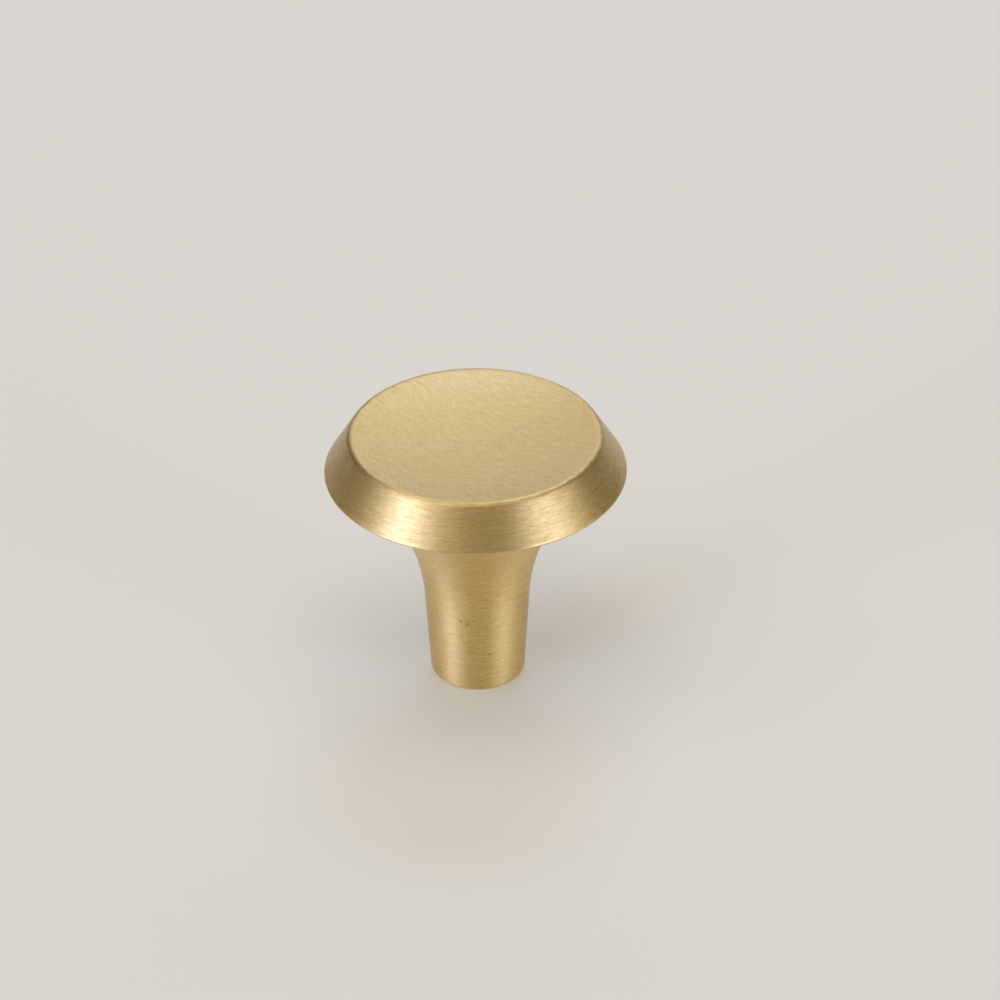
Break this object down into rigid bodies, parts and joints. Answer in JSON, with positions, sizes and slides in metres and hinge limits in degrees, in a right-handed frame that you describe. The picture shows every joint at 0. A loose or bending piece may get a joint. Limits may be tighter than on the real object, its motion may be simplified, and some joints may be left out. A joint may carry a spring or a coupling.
{
  "type": "cabinet knob",
  "caption": "Round turned cabinet knob with a dished face, a wide bevel, a stem that flares up under the head, and a tapped hole in its foot for the fixing screw.",
  "frame": {"origin": "centre of the foot's flat face, where the knob meets the door or drawer front", "axes": "+Z along the knob's axis, from the foot to the face; -Z is the way the foot faces"},
  "size_m": [0.03, 0.03, 0.0281],
  "materials": {
    "brass": "fine brushed brass under clear satin lacquer"
  },
  "bodies": {
    "root": {"knob": "brass"}
  },
  "joints": []
}
